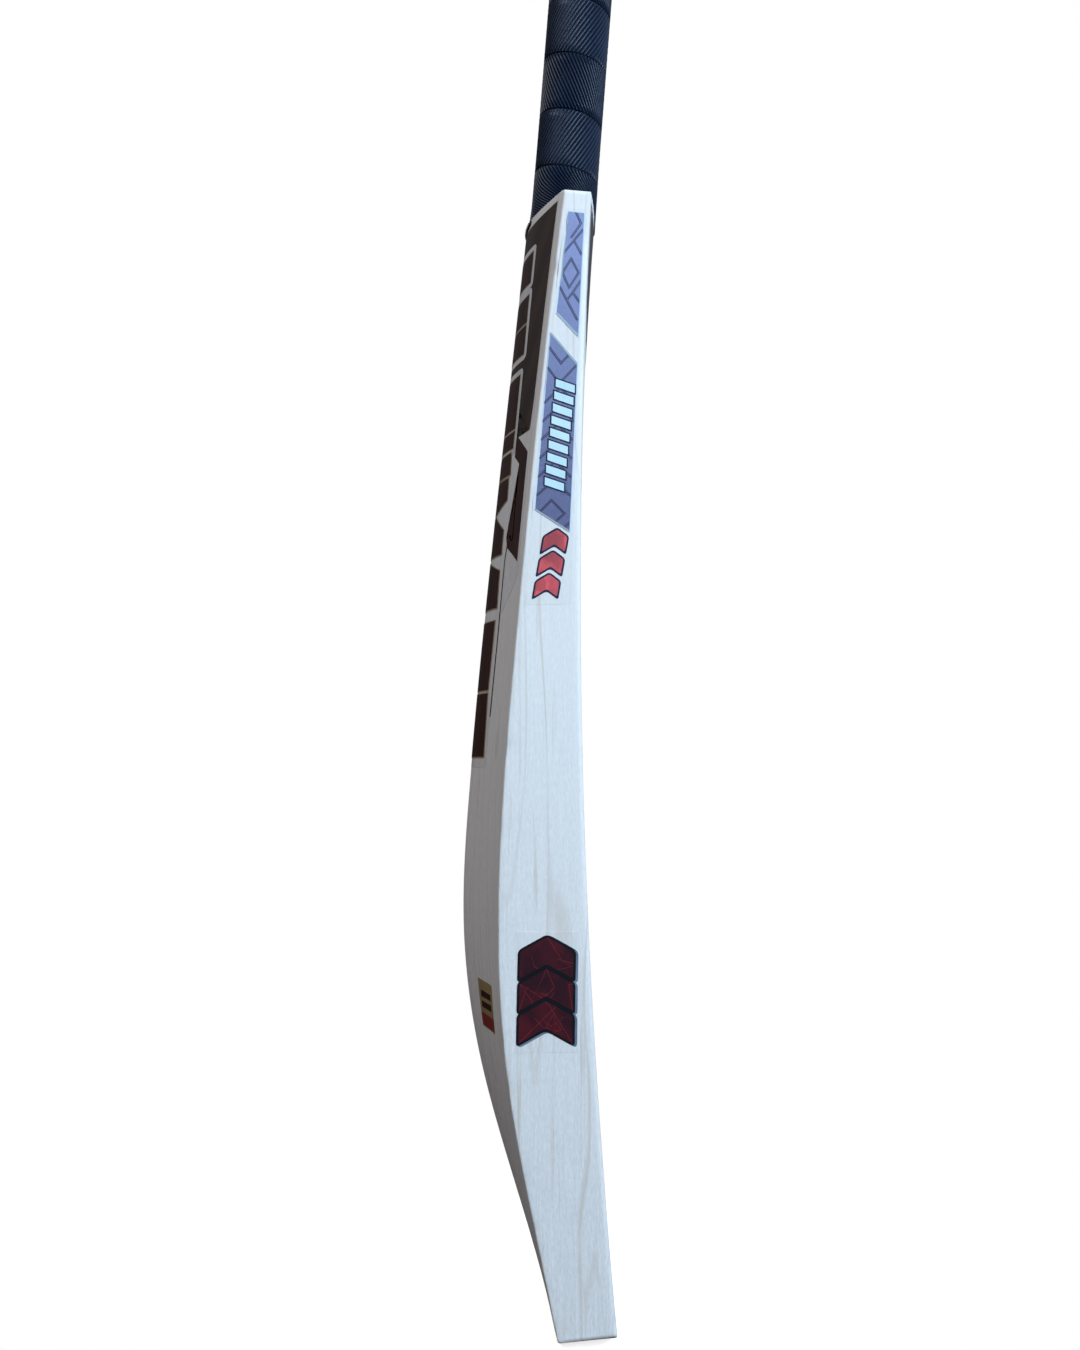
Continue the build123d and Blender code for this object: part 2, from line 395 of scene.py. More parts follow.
def blade_dents():
    """Small knocks on the back's arris, the toe and the edges: place, radius and depth."""
    rng = random.Random(11)
    dents = []
    for _ in range(46):
        side = rng.choice((-1, -1, 1))
        z = rng.uniform(8, 540)
        y = edge_y(z) - rng.uniform(0.0, 1.2)
        dents.append((side * HALF_WIDTH, y, z, rng.uniform(1.6, 3.4), rng.uniform(0.10, 0.32)))
    for _ in range(26):
        side = rng.choice((-1, 1))
        z = rng.uniform(12, 120)
        y = face_corner(z) + rng.uniform(1.0, 26.0)
        dents.append((side * HALF_WIDTH, y, z, rng.uniform(2.0, 5.0), rng.uniform(0.05, 0.16)))
    for _ in range(30):
        x = rng.uniform(-50, 50)
        z = toe_height(x) + rng.uniform(0, 2.0)
        y = face_corner(0) + rng.choice((0.0, 28.0))
        dents.append((x, y, z, rng.uniform(1.8, 3.6), rng.uniform(0.10, 0.35)))
    return sorted(dents, key=lambda d: d[2])


def dent_depth(dents, x, y, z):
    """How far the surface is pushed in at a point."""
    depth = 0.0
    for dx, dy, dz, radius, deep in dents:
        if dz > z + DENT_REACH:
            break
        if dz < z - DENT_REACH:
            continue
        gap = (dx - x) ** 2 + (dy - y) ** 2 + (0.6 * (dz - z)) ** 2
        if gap < 6 * radius * radius:
            depth += deep * DENT_FADE ** (-gap / (radius * radius))
    return depth


def cut_splice(piece):
    """Cuts the handle's V out of the blade, so that the cane strips show in it."""
    bm = bmesh.new()
    outline = (
        (-SPLICE_TOP_HALF - 0.12, 0.6),
        (SPLICE_TOP_HALF + 0.12, 0.6),
        (SPLICE_TIP_HALF, -SPLICE_LENGTH),
        (-SPLICE_TIP_HALF, -SPLICE_LENGTH),
    )
    layers = []
    for depth in (-60.0, 60.0):
        layers.append([
            bm.verts.new((HANDLE_ORIGIN + Vector((a, 0, 0)) + HANDLE_UP * b + HANDLE_BACK * depth) * MM)
            for a, b in outline
        ])
    bm.faces.new(layers[0])
    bm.faces.new(reversed(layers[1]))
    for i in range(4):
        j = (i + 1) % 4
        bm.faces.new((layers[0][j], layers[0][i], layers[1][i], layers[1][j]))
    bmesh.ops.recalc_face_normals(bm, faces=bm.faces)
    mesh = bpy.data.meshes.new("splice_cutter")
    bm.to_mesh(mesh)
    bm.free()
    cutter = new_object("splice_cutter", mesh)
    modifier = piece.modifiers.new("splice", "BOOLEAN")
    modifier.operation = "DIFFERENCE"
    modifier.solver = "EXACT"
    modifier.object = cutter
    apply_modifiers(piece)
    bpy.data.objects.remove(cutter, do_unlink=True)
    bpy.data.meshes.remove(mesh)


def apply_modifiers(piece):
    """Replaces a piece's mesh with the result of its modifiers."""
    graph = bpy.context.evaluated_depsgraph_get()
    result = bpy.data.meshes.new_from_object(piece.evaluated_get(graph))
    piece.modifiers.clear()
    piece.data = result


# ---- Grip ----
def on_handle(radius, angle, up):
    """A point round the handle's axis; angle 0 is +X and a quarter turn is the back."""
    across = Vector((cos(angle), 0, 0)) + HANDLE_BACK * sin(angle)
    return HANDLE_ORIGIN + across * radius + HANDLE_UP * up


def grip_flare(up):
    t = max(0.0, 1 - up / FLARE_LENGTH)
    return GRIP_FLARE * t * t


def rib_shift(up):
    """How far round the ribs have run at a height: they turn back at every band."""
    position = (up - FIRST_BAND) / BAND_HEIGHT
    band = floor(position)
    along = position - band
    if band % 2 == 0:
        along = 1 - along
    foot = max(0.0, 1 - up / FIRST_BAND)
    return (FOOT_SWIRL * foot * foot - along * BAND_HEIGHT * RIB_SLOPE) / GRIP_RADIUS


def grip_levels():
    """Heights of the grip's rings, with how deep the groove between bands is at each."""
    levels = [(0.0, 1.0), (0.25, 0.5), (0.8, 0.0)]
    starts = [0.8] + [FIRST_BAND + BAND_HEIGHT * k for k in range(BAND_COUNT)]
    half = 0.45
    for k, start in enumerate(starts):
        end = starts[k + 1] if k + 1 < len(starts) else COLLAR_START
        first = start + (half if k else 0.0)
        last = min(end, COLLAR_START) - half
        steps = 26 if k == 0 else 7
        levels += [(first + (last - first) * i / steps, 0.0) for i in range(1 if not k else 0, steps + 1)]
        if k + 1 < len(starts):
            levels += [(end - 0.22, 1.15), (end + 0.22, 1.15)]
    return levels


def grip_mesh(material):
    """The rubber grip: a tube with moulded ribs that turn back at each band, and a rolled collar."""
    bm = bmesh.new()
    around = RIB_COUNT * RIB_SAMPLES
    rings = []
    for up, groove in grip_levels():
        ring = []
        for i in range(around):
            phase = i / RIB_SAMPLES
            rib = RIB_DEPTH * (1 - abs(sin(pi * phase))) ** 1.3
            radius = GRIP_RADIUS + grip_flare(up) - max(rib, groove)
            angle = 2 * pi * i / around + rib_shift(up)
            tilt = RING_TILT * GRIP_RADIUS * sin(angle) * min(1.0, up / FIRST_BAND)
            tilt *= min(1.0, (COLLAR_START - up) / BAND_HEIGHT)
            back = max(0.0, sin(angle))
            radius += FOOT_FLARE * back * back * max(0.0, 1 - up / FLARE_RISE) ** 2
            tilt -= FOOT_DROP * back**1.5 * max(0.0, 1 - up / FIRST_BAND)
            point = on_handle(radius, angle, up + tilt)
            if back > LIP_START and point.z < BLADE_LENGTH + LIP_RISE:
                over = max(0.0, point.z - BLADE_LENGTH)
                lip = back_height(point.x, BLADE_LENGTH) + FOOT_LIP
                lip -= LIP_RIB * max(rib, groove) + LIP_SLOPE * over
                hold = min(1.0, (back - LIP_START) / (LIP_FULL - LIP_START))
                point.y += max(0.0, lip - point.y) * hold * hold * (3 - 2 * hold)
            ring.append(bm.verts.new(point))
        rings.append(ring)
    last_shift = rib_shift(COLLAR_START)
    collar = [(GRIP_RADIUS - 1.0, COLLAR_START), (GRIP_RADIUS - 0.2, COLLAR_START + 0.5)]
    collar += [(GRIP_RADIUS, COLLAR_START + 1.4), (GRIP_RADIUS, GRIP_END - 1.2)]
    for step in range(1, 7):
        turn = pi / 2 * step / 6
        collar.append((
            GRIP_RADIUS - COLLAR_ROUND * (1 - cos(turn)), GRIP_END - COLLAR_ROUND * (1 - sin(turn))
        ))
    collar += [(GRIP_INNER + 0.5, GRIP_END), (GRIP_INNER, GRIP_END - 0.5)]
    collar += [(GRIP_INNER, GRIP_END - 5 - 20 * k) for k in range(14)]
    collar += [(GRIP_INNER + GRIP_FLARE, 0.0)]
    turns = [2 * pi * i / around + last_shift for i in range(around)]
    for radius, up in collar:
        rings.append([bm.verts.new(on_handle(radius, turn, up)) for turn in turns])
    rings.append(rings[0])
    skin(bm, rings)
    return finish_mesh("grip_rubber", bm, material, ("grip",), sharp=radians(75))


# ---- Flat shapes for the labels, as lists of (a, b) in millimetres ----
def area(poly):
    return sum(a[0] * b[1] - b[0] * a[1] for a, b in zip(poly, poly[1:] + poly[:1])) / 2


def anticlockwise(poly):
    return list(poly) if area(list(poly)) > 0 else list(reversed(poly))


def grown(poly, distance):
    """The outline moved outwards by a distance, with mitred corners."""
    poly = anticlockwise(poly)
    result = []
    for i in range(len(poly)):
        a, b, c = poly[i - 1], poly[i], poly[(i + 1) % len(poly)]
        first = Vector((b[0] - a[0], b[1] - a[1])).normalized()
        second = Vector((c[0] - b[0], c[1] - b[1])).normalized()
        n1 = Vector((first.y, -first.x))
        n2 = Vector((second.y, -second.x))
        miter = (n1 + n2) / max(0.35, 1 + n1.dot(n2))
        result.append((b[0] + miter.x * distance, b[1] + miter.y * distance))
    return result


def rounded(poly, radius, steps=5):
    """The outline with its corners rounded."""
    poly = anticlockwise(poly)
    result = []
    for i in range(len(poly)):
        a, b, c = poly[i - 1], poly[i], poly[(i + 1) % len(poly)]
        before = Vector((a[0] - b[0], a[1] - b[1]))
        after = Vector((c[0] - b[0], c[1] - b[1]))
        cut_a = min(radius, before.length * 0.45)
        cut_c = min(radius, after.length * 0.45)
        start = (b[0] + before.normalized().x * cut_a, b[1] + before.normalized().y * cut_a)
        end = (b[0] + after.normalized().x * cut_c, b[1] + after.normalized().y * cut_c)
        result += [bezier((start, b, end), k / steps) for k in range(steps + 1)]
    return result


def clipped(poly, window):
    """The part of an outline inside a convex window."""
    result = anticlockwise(poly)
    window = anticlockwise(window)
    for a, b in zip(window, window[1:] + window[:1]):
        def side(p):
            return (b[0] - a[0]) * (p[1] - a[1]) - (b[1] - a[1]) * (p[0] - a[0])
        kept = []
        for p, q in zip(result, result[1:] + result[:1]):
            sp, sq = side(p), side(q)
            if sp >= 0:
                kept.append(p)
            if (sp > 0) != (sq > 0) and sp != sq:
                t = sp / (sp - sq)
                kept.append((p[0] + (q[0] - p[0]) * t, p[1] + (q[1] - p[1]) * t))
        result = kept
        if len(result) < 3:
            return []
    return result


def stroke(points, width, closed=False):
    """A run of thin bars along a line, mitred where it bends."""
    count = len(points)
    sides = []
    for i in range(count):
        before = points[i - 1] if closed or i else points[i]
        after = points[(i + 1) % count] if closed or i + 1 < count else points[i]
        here = Vector(points[i])
        a, b = (here - Vector(before)), (Vector(after) - here)
        a = a.normalized() if a.length else b.normalized()
        b = b.normalized() if b.length else a
        across = Vector((-a.y - b.y, a.x + b.x)) / max(0.5, 1 + a.dot(b)) * width / 2
        sides.append((tuple(here - across), tuple(here + across)))
    runs = count if closed else count - 1
    return [
        [sides[i][0], sides[(i + 1) % count][0], sides[(i + 1) % count][1], sides[i][1]]
        for i in range(runs)
    ]


def printed(name, shapes, place, low, high, material, cell=0.0, ripple=None, replaces=()):
    """Thin closed solids for flat shapes, laid on a surface between two heights above it."""
    bm = bmesh.new()
    for k, poly in enumerate(shapes):
        if len(poly) < 3 or abs(area(list(poly))) < 0.01:
            continue
        lift = 0.01 * (k % 12)
        bm.faces.new([bm.verts.new((a, b, lift)) for a, b in anticlockwise(poly)])
    bmesh.ops.triangulate(bm, faces=bm.faces[:])
    if cell:
        for axis, normal in enumerate((Vector((1, 0, 0)), Vector((0, 1, 0)))):
            low_end = min(v.co[axis] for v in bm.verts)
            high_end = max(v.co[axis] for v in bm.verts)
            cut = floor(low_end / cell) * cell + cell
            while cut < high_end:
                point = normal * cut
                geometry = bm.verts[:] + bm.edges[:] + bm.faces[:]
                bmesh.ops.bisect_plane(bm, geom=geometry, plane_co=point, plane_no=normal, dist=1e-5)
                cut += cell
    bmesh.ops.remove_doubles(bm, verts=bm.verts[:], dist=0.004)
    bmesh.ops.dissolve_degenerate(bm, edges=bm.edges[:], dist=0.01)
    raised = bmesh.ops.extrude_face_region(bm, geom=bm.faces[:], use_keep_orig=True)
    for vert in (g for g in raised["geom"] if isinstance(g, bmesh.types.BMVert)):
        vert.co.z += 1
    for vert in bm.verts:
        a, b, level = vert.co
        height = low
        if level > 0.5:
            # Overlapping shapes differ by a hair, so that no two faces coincide.
            height = high + 0.2 * (level - 1)
            if ripple:
                height += ripple(a, b)
        vert.co = place(a, b, height)
    return finish_mesh(name, bm, material, replaces, sharp=radians(50))


def on_edge(side):
    """Places label shapes on an edge: a is the distance from the face's corner, b the height."""
    return lambda a, b, height: Vector((side * (HALF_WIDTH + height), face_corner(b) + a, b))


def on_back(a, b, height):
    return Vector((a, back_height(a, b) + height, b))


def on_face(a, b, height):
    return Vector((a, face_height(a, b) - height, b))


# ---- Materials ----
class Nodes:
    """A node tree under construction."""

    def __init__(self, tree):
        self.tree = tree

    def add(self, kind, inputs=None, **settings):
        node = self.tree.nodes.new(kind)
        for key, value in settings.items():
            setattr(node, key, value)
        for key, value in (inputs or {}).items():
            self.feed(node.inputs[key], value)
        return node

    def feed(self, socket, value):
        if isinstance(value, bpy.types.NodeSocket):
            self.tree.links.new(value, socket)
        else:
            socket.default_value = value

    def span(self, value, low, high, to_low=0.0, to_high=1.0, kind="LINEAR"):
        inputs = {
            "Value": value, "From Min": low, "From Max": high, "To Min": to_low, "To Max": to_high,
        }
        return self.add("ShaderNodeMapRange", inputs, clamp=True, interpolation_type=kind).outputs[0]

    def mix(self, amount, a, b):
        inputs = {0: amount, 6: rgba(a), 7: rgba(b)}
        return self.add("ShaderNodeMix", inputs, data_type="RGBA").outputs[2]


class Look(Nodes):
    """A material under construction, with its places in millimetres."""

    def __init__(self, name, **constants):
        self.material = bpy.data.materials.new(name)
        self.material.use_nodes = True
        super().__init__(self.material.node_tree)
        self.shader = self.tree.nodes["Principled BSDF"]
        place = self.tree.nodes.new("ShaderNodeTexCoord").outputs["Object"]
        self.place = self.stretch(place, (1000, 1000, 1000))
        for key, value in constants.items():
            self.shader.inputs[key.replace("_", " ")].default_value = value

    def stretch(self, vector, scale, turn=(0, 0, 0), shift=(0, 0, 0)):
        inputs = {"Vector": vector, "Scale": scale, "Rotation": turn, "Location": shift}
        return self.add("ShaderNodeMapping", inputs).outputs[0]

    def noise(self, scale, detail=2.0, rough=0.5, shift=(0, 0, 0), place=None):
        """Noise of 0 to 1 in millimetre space; scale is how many features to a millimetre."""
        vector = self.stretch(place or self.place, scale, shift=shift)
        inputs = {"Vector": vector, "Scale": 1.0, "Detail": detail, "Roughness": rough}
        return self.add("ShaderNodeTexNoise", inputs).outputs["Fac"]

    def math(self, operation, a, b=0.0):
        return self.add("ShaderNodeMath", {0: a, 1: b}, operation=operation).outputs[0]

    def times(self, a, b):
        return self.math("MULTIPLY", a, b)

    def axis(self, name):
        return self.add("ShaderNodeSeparateXYZ", {0: self.place}).outputs[name]

    def bump(self, height, distance, strength=1.0, under=None):
        inputs = {"Height": height, "Distance": distance * MM, "Strength": strength}
        if under is not None:
            inputs["Normal"] = under
        return self.add("ShaderNodeBump", inputs).outputs[0]

    def finish(self, colour, roughness, normal=None):
        self.feed(self.shader.inputs["Base Color"], colour)
        self.feed(self.shader.inputs["Roughness"], roughness)
        if normal:
            self.feed(self.shader.inputs["Normal"], normal)
        return self.material


def rgba(value):
    if isinstance(value, tuple) and len(value) == 3:
        return (*value, 1.0)
    return value


def willow(name, film=False):
    """Pale willow: rings stacked across the blade, so its face is striped and its edges show arches."""
    coat = {"Coat_Weight": 0.5, "Coat_Roughness": 0.12} if film else {}
    look = Look(name, Specular_IOR_Level=0.3, **coat)
    x, z = look.axis("X"), look.axis("Z")
    drift = look.noise((0.011, 0.046, 0.0042), 1.0, 0.4, shift=(3.1, 1.7, 0.4))
    shake = look.noise((0.05, 0.09, 0.020))
    ring = look.math("ADD", x, look.times(drift, 44.0))
    ring = look.math("ADD", ring, look.times(shake, 1.1))
    ring = look.math("FRACT", look.math("DIVIDE", look.math("ADD", ring, 900.0), 11.0))
    rise = look.span(ring, 0.87, 0.96, kind="SMOOTHSTEP")
    fall = look.span(ring, 0.965, 1.0, 1.0, 0.0, kind="SMOOTHSTEP")
    late = look.times(rise, fall)
    strength = look.span(look.noise((0.03, 0.03, 0.012)), 0.35, 0.65, 0.25, 1.0)
    late = look.times(late, strength)

    fibre = look.noise((1.0, 1.0, 0.030), 3.0, 0.55)
    fine = look.noise((2.4, 2.4, 0.22), 3.0, 0.6)
    pores = look.span(look.noise((3.2, 3.2, 0.34), 2.0, 0.6), 0.56, 0.74)
    cloud = look.noise((0.02, 0.02, 0.008), 3.0)
    toe = look.span(z, 40.0, 330.0, 1.0, 0.35)

    pale, deep = (0.830, 0.825, 0.810), (0.690, 0.675, 0.650)
    streak = look.times(look.span(fibre, 0.30, 0.72), toe)
    colour = look.mix(look.times(streak, 0.70), pale, deep)
    colour = look.mix(look.times(look.span(fine, 0.35, 0.75), 0.16), colour, (0.50, 0.49, 0.47))
    colour = look.mix(look.times(late, 0.50), colour, (0.52, 0.43, 0.32))
    pits = look.times(look.times(pores, toe), 0.20)
    colour = look.mix(pits, colour, (0.46, 0.44, 0.41))
    colour = look.mix(look.span(cloud, 0.35, 0.75, 0.0, 0.12), colour, (0.70, 0.71, 0.74))

    mottle = look.noise((1.0, 1.0, 0.30), 3.0, 0.65)
    mottle = look.times(look.span(mottle, 0.38, 0.66), look.span(z, 60.0, 420.0, 0.42, 0.16))
    colour = look.mix(mottle, colour, (0.56, 0.56, 0.57))
    stain = look.span(look.noise((0.34, 0.34, 0.013), shift=(5.0, 2.0, 0.7)), 0.60, 0.72)
    stain = look.times(stain, look.span(z, 180.0, 420.0, 0.42, 0.16))
    colour = look.mix(stain, colour, (0.50, 0.41, 0.31))
    for turn, shift in ((0.45, 2.0), (-0.20, 7.0)):
        along = look.stretch(look.place, (1, 1, 1), turn=(turn, 0, 0), shift=(0, shift, 0))
        scratch = look.noise((0.06, 3.4, 0.05), 1.0, place=along)
        scratch = look.times(look.span(scratch, 0.73, 0.78), look.span(z, 20.0, 90.0, 0.7, 0.0))
        colour = look.mix(scratch, colour, (0.40, 0.38, 0.36))

    speckle = look.noise((2.2, 2.2, 1.6), 2.0, 0.6)
    height = look.math("ADD", look.times(fine, 0.45), look.times(fibre, 0.4))
    height = look.math("ADD", height, look.times(speckle, 0.75))
    height = look.math("SUBTRACT", height, look.times(pores, 0.3))
    if film:
        wave = look.noise((0.45, 0.45, 0.16))
        low = look.bump(wave, 0.10, 0.8)
        return look.finish(
            colour, look.span(wave, 0.3, 0.7, 0.16, 0.28), look.bump(height, 0.03, 0.5, low)
        )
    return look.finish(colour, look.span(fine, 0.3, 0.7, 0.48, 0.66), look.bump(height, 0.09, 0.9))


def cane():
    """Straight-grained cane with darker fibres, sanded pale at the back of the shoulders."""
    look = Look("cane")
    along = look.stretch(look.place, (1, 1, 1), turn=(-HANDLE_LEAN, 0, 0))
    fibre = look.noise((2.6, 2.6, 0.02), 3.0, place=along)
    inputs = {"Vector": look.stretch(along, (0.9, 0.9, 0.006)), "Scale": 1.0}
    dots = look.add("ShaderNodeTexVoronoi", inputs).outputs["Distance"]
    vessel = look.span(dots, 0.10, 0.24, 1.0, 0.0)
    cloud = look.noise((0.03, 0.03, 0.01))
    colour = look.mix(look.span(fibre, 0.3, 0.7), (0.66, 0.54, 0.36), (0.52, 0.40, 0.24))
    colour = look.mix(look.times(vessel, 0.6), colour, (0.22, 0.13, 0.06))
    colour = look.mix(look.span(cloud, 0.3, 0.7, 0.0, 0.3), colour, (0.70, 0.55, 0.33))
    behind = look.span(look.axis("Y"), 2.0, 5.0)
    behind = look.times(behind, look.span(look.axis("Z"), 552.0, 556.0))
    colour = look.mix(look.times(behind, 0.85), colour, (0.72, 0.70, 0.66))
    relief = look.bump(look.math("SUBTRACT", fibre, vessel), 0.05, 0.6)
    return look.finish(colour, look.span(fibre, 0.3, 0.7, 0.42, 0.58), relief)


def twine():
    """Glued twine, wound round the handle a turn every 0.8 mm."""
    look = Look("twine")
    turns = look.math("SINE", look.times(look.axis("Z"), 2 * pi / 0.8))
    fuzz = look.noise((3, 3, 6), 3.0)
    colour = look.mix(look.span(turns, -1, 1), (0.20, 0.13, 0.07), (0.55, 0.42, 0.25))
    return look.finish(colour, look.span(fuzz, 0.3, 0.7, 0.5, 0.75), look.bump(turns, 0.2, 0.8))


def rubber(name, colour, pale, rough):
    """Matt moulded rubber with a little bloom on it."""
    look = Look(name, Specular_IOR_Level=0.26)
    bloom = look.noise((0.09, 0.09, 0.05), 4.0, 0.6)
    grain = look.noise((5, 5, 5), 3.0, 0.6)
    shade = look.mix(look.span(bloom, 0.4, 0.75, 0.0, 0.7), colour, pale)
    roughness = look.span(bloom, 0.3, 0.7, rough - 0.06, rough + 0.10)
    return look.finish(shade, roughness, look.bump(grain, 0.03, 0.6))


def ink(name, colour, other=None, rough=0.32, metal=0.0, speck=0.0, shine=0.4, facets=0.0):
    """Printed ink: a slow drift between two colours, a fine mottle, and facets or sparkle if asked."""
    look = Look(name, Metallic=metal, Specular_IOR_Level=shine)
    other = other or tuple(c * 0.8 for c in colour)
    drift = look.noise((0.08, 0.08, 0.05), 3.0, 0.6)
    mottle = look.noise((3.0, 3.0, 3.0), 2.0, 0.7)
    shade = look.mix(look.span(drift, 0.35, 0.65), colour, other)
    if facets:
        slabs = look.stretch(look.place, (0.16, 0.16, 0.11), turn=(0.5, 0, 0))
        cells = look.add("ShaderNodeTexVoronoi", {"Vector": slabs, "Scale": 1.0})
        tone = look.add("ShaderNodeSeparateColor", {0: cells.outputs["Color"]}).outputs[0]
        shade = look.mix(look.span(tone, 0.45, 0.55, 0.0, facets), shade, other)
    if speck:
        sparkle = look.noise((2.4, 2.4, 2.4), 1.0, shift=(5, 5, 5))
        light = tuple(min(1.0, c * 1.9 + 0.06) for c in colour)
        shade = look.mix(look.span(sparkle, 0.56, 0.70, 0.0, speck), shade, light)
    shade = look.mix(look.span(mottle, 0.3, 0.7, 0.0, 0.18), shade, tuple(c * 0.6 for c in colour))
    roughness = look.span(mottle, 0.3, 0.7, rough - 0.05, rough + 0.08)
    return look.finish(shade, roughness, look.bump(look.noise((0.25, 0.25, 0.12)), 0.06, 0.5))


def purple_ink():
    """The edge panels: blue-violet, paler towards the shoulders, with a fine sparkle."""
    look = Look("print_violet", Coat_Weight=0.3, Coat_Roughness=0.2)
    up = look.span(look.axis("Z"), 385.0, 548.0)
    grain = look.noise((2.6, 2.6, 2.6), 2.0, 0.7)
    patch = look.noise((0.12, 0.12, 0.10))
    colour = look.mix(up, (0.060, 0.078, 0.175), (0.250, 0.300, 0.540))
    colour = look.mix(look.span(grain, 0.50, 0.72, 0.0, 0.55), colour, (0.42, 0.45, 0.66))
    colour = look.mix(look.span(grain, 0.50, 0.30, 0.0, 0.35), colour, (0.05, 0.055, 0.12))
    colour = look.mix(look.span(patch, 0.4, 0.7, 0.0, 0.25), colour, (0.20, 0.17, 0.33))
    return look.finish(colour, look.span(grain, 0.3, 0.7, 0.30, 0.5), look.bump(grain, 0.02, 0.5))


def striped_ink():
    """The back panel: dark brown with fine paler lines up it, in slanting facets."""
    look = Look("print_striped_brown", Specular_IOR_Level=0.12)
    x, z = look.axis("X"), look.axis("Z")
    slant = look.math("ADD", look.times(x, 1.3), look.times(z, 0.9))
    facet = look.math("FRACT", look.math("DIVIDE", slant, 31.0))
    facet = look.span(facet, 0.46, 0.50)
    lines = look.math("SINE", look.times(x, 2 * pi / 1.15))
    lines = look.span(lines, -0.2, 0.9)
    colour = look.mix(look.times(lines, 0.75), (0.030, 0.017, 0.010), (0.090, 0.062, 0.040))
    colour = look.mix(look.times(facet, 0.45), colour, (0.022, 0.014, 0.010))
    return look.finish(colour, look.span(lines, 0.0, 1.0, 0.46, 0.58), look.bump(lines, 0.02, 0.6))


# ---- Labels ----
INK_GAP = 0.045             # each printed layer stands this far above the one below
EDGE_FILM = (
    (12.0, 549.3), (2.4, 549.0), (2.4, 470.0), (3.4, 400.0), (4.6, 352.0),
    (27.2, 351.5), (23.8, 398.0), (18.0, 470.0),
)
BADGE_FILM = ((34.5, 195.0), (4.5, 195.0), (7.5, 138.5), (37.5, 138.5))
UPPER_PANEL = [(10.6, 547.6), (3.0, 546.8), (3.4, 484.8), (14.4, 496.3)]
LOWER_PANEL = [(16.9, 486.0), (3.4, 470.7), (5.6, 387.6), (22.4, 398.4)]
BACK_LABEL = ((48.5, 556.5), (48.0, 440.0), (45.0, 368.0), (24.5, 350.0), (22.5, 273.0))
BACK_TAG = ((-19.0, 168.0), (-35.0, 166.5), (-34.5, 143.0), (-19.5, 144.5))
FACE_LABEL = ((49.5, 554.0), (48.0, 505.0), (38.0, 488.0), (0.0, 480.0))


def mirrored(points):
    """A closed outline from its right half, listed from the top down."""
    return list(points) + [(-x, z) for x, z in reversed(points) if x > 0]


def both_sides(shapes):
    return list(shapes) + [[(-a, b) for a, b in shape] for shape in shapes]


def layer(level):
    """The heights between which a printed layer lies above the wood."""
    return FILM + INK_GAP * level, FILM + INK_GAP * (level + 1)


def across_panel(panel, points):
    """Points given as (share from back to face, distance down) in an edge panel."""
    (back_top, top), (face_top, _), (face_low, face_bottom), (back_low, back_bottom) = panel
    result = []
    for share, down in points:
        z = top - down
        back = back_top + (back_low - back_top) * down / (top - back_bottom)
        face = face_top + (face_low - face_top) * down / (top - face_bottom)
        result.append((back + (face - back) * share, z))
    return result


def chevrons(centre, bottom, width, arm, rise, pitch, count, lean):
    """A stack of plain upward chevrons whose middle line leans across."""
    shapes = []
    for k in range(count):
        base = bottom + k * pitch
        outline = [
            (-width / 2, 0), (0, rise), (width / 2, 0),
            (width / 2, arm), (0, rise + arm), (-width / 2, arm),
        ]
        shapes.append([
            (centre + a + lean * (base + b - bottom), base + b) for a, b in outline
        ])
    return shapes


